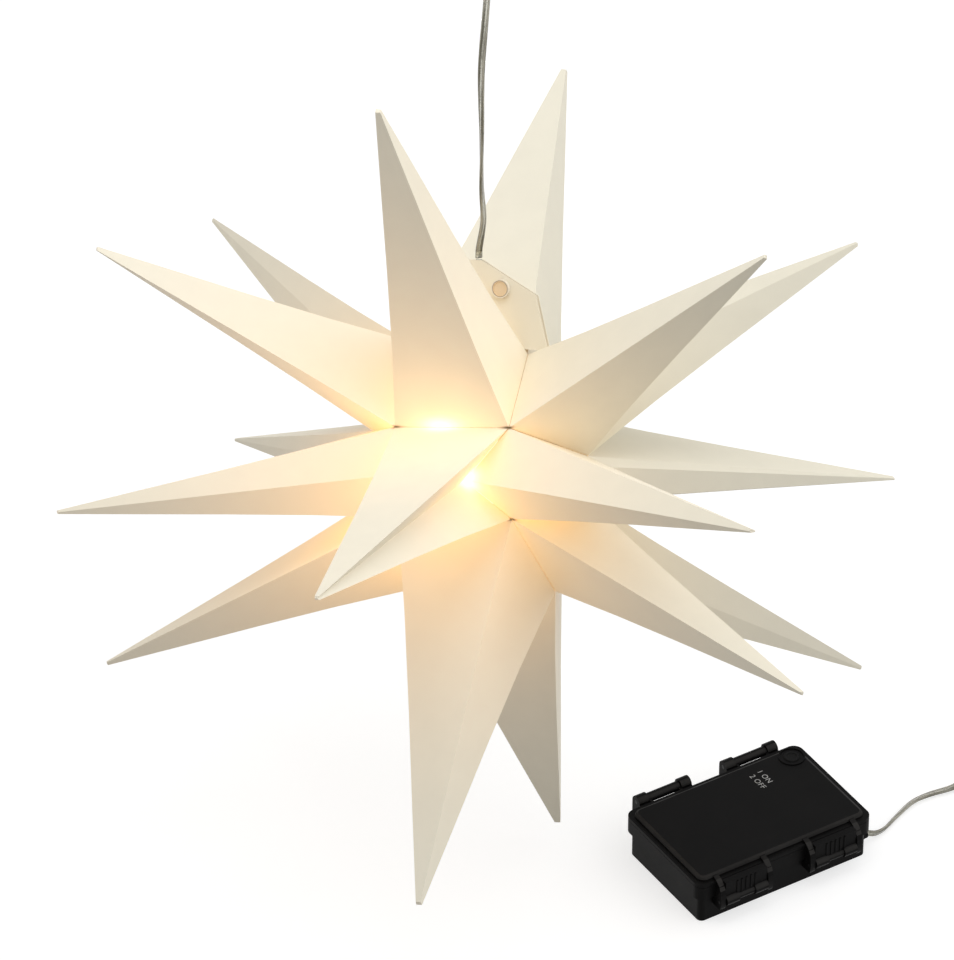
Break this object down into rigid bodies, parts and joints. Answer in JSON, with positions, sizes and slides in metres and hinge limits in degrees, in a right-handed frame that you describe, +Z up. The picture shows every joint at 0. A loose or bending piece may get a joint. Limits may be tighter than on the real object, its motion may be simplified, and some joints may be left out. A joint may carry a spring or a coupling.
{
  "type": "led christmas star",
  "caption": "Hanging folded LED Christmas star with long pyramid spikes, a lamp inside, a clear lead over two hooks and a weatherproof battery box with lid, latches and timer button.",
  "frame": {"origin": "middle of the ceiling hook's plate, on its flat top face", "axes": "+Z up, +X along the battery box's long edge towards the end where the lead goes in, +Y towards the box's hinges"},
  "size_m": [0.6166, 0.5567, 0.6704],
  "materials": {
    "shade_sheet": "translucent warm white sheet",
    "clear_plastic": "clear, glossy",
    "clear_lead": "clear sheath over bright wire",
    "lamp_plastic": "smooth white",
    "frosted_bulb": "frosted, lit warm",
    "circuit_board": "green board",
    "cell_case": "plain grey sleeve",
    "steel": "bright",
    "switch_plastic": "smooth",
    "soft_black": "soft matt black",
    "white_steel": "white gloss enamel",
    "black_plastic": "fine-grained black"
  },
  "bodies": {
    "hung_parts": {"spike_top_front": "shade_sheet", "spike_top_back": "shade_sheet", "spike_top_front_left": "shade_sheet", "spike_top_front_right": "shade_sheet", "spike_top_back_left": "shade_sheet", "spike_top_back_right": "shade_sheet", "spike_middle_front": "shade_sheet", "spike_middle_front_right": "shade_sheet", "spike_middle_back_right": "shade_sheet", "spike_middle_back": "shade_sheet", "spike_middle_back_left": "shade_sheet", "spike_middle_front_left": "shade_sheet", "spike_bottom_front": "shade_sheet", "spike_bottom_back": "shade_sheet", "spike_bottom_front_left": "shade_sheet", "spike_bottom_front_right": "shade_sheet", "spike_bottom_back_left": "shade_sheet", "spike_bottom_back_right": "shade_sheet", "inner_lead": "clear_lead", "lamp_holder": "lamp_plastic", "led_board": "circuit_board", "led_bulb": "frosted_bulb", "lead_star_to_coil": "clear_lead", "lead_coil": "clear_lead", "lead_coil_to_box": "clear_lead", "coil_tie": "soft_black", "ceiling_hook": "white_steel", "side_hook": "white_steel", "box_base": "black_plastic", "lid_gasket": "soft_black", "hinge_pin_left": "steel", "latch_pin_left": "steel", "hinge_pin_right": "steel", "latch_pin_right": "steel", "timer_board": "circuit_board", "button_switch": "switch_plastic", "cell_1": "cell_case", "cell_2": "cell_case", "cell_3": "cell_case", "contacts_right": "steel", "contacts_left": "steel", "lead_gland": "soft_black"},
    "front_tab": {"closing_tab_front": "shade_sheet", "snap_cap": "clear_plastic"},
    "back_tab": {"closing_tab_back": "shade_sheet", "snap_socket": "clear_plastic"},
    "lid": {"box_lid": "black_plastic"},
    "button": {"push_button": "soft_black"},
    "left_latch": {"latch_left": "black_plastic"},
    "right_latch": {"latch_right": "black_plastic"}
  },
  "joints": [
    {"name": "front_tab_fold", "type": "hinge", "parent": "hung_parts", "child": "front_tab", "pos_m": [-0.03016, -0.02281, -0.29816], "axis": [0.582, -0.8017, 0.1362], "range_deg": [0, 35]},
    {"name": "back_tab_fold", "type": "hinge", "parent": "hung_parts", "child": "back_tab", "pos_m": [-0.02655, -0.02057, -0.30039], "axis": [-0.582, 0.8017, -0.1362], "range_deg": [0, 35]},
    {"name": "lid_hinge", "type": "hinge", "parent": "hung_parts", "child": "lid", "pos_m": [0.08749, -0.12823, -0.63724], "axis": [-1, 0, 0], "range_deg": [0, 110]},
    {"name": "left_latch_pivot", "type": "hinge", "parent": "hung_parts", "child": "left_latch", "pos_m": [0.05169, -0.23063, -0.65124], "axis": [1, 0, 0], "range_deg": [0, 100]},
    {"name": "right_latch_pivot", "type": "hinge", "parent": "hung_parts", "child": "right_latch", "pos_m": [0.12329, -0.23063, -0.65124], "axis": [1, 0, 0], "range_deg": [0, 100]},
    {"name": "button_press", "type": "slide", "parent": "lid", "child": "button", "axis": [0, 0, -1], "range_m": [0, 0.0012], "stiffness_N_per_m": 1200, "springref_m": -0.0003}
  ]
}
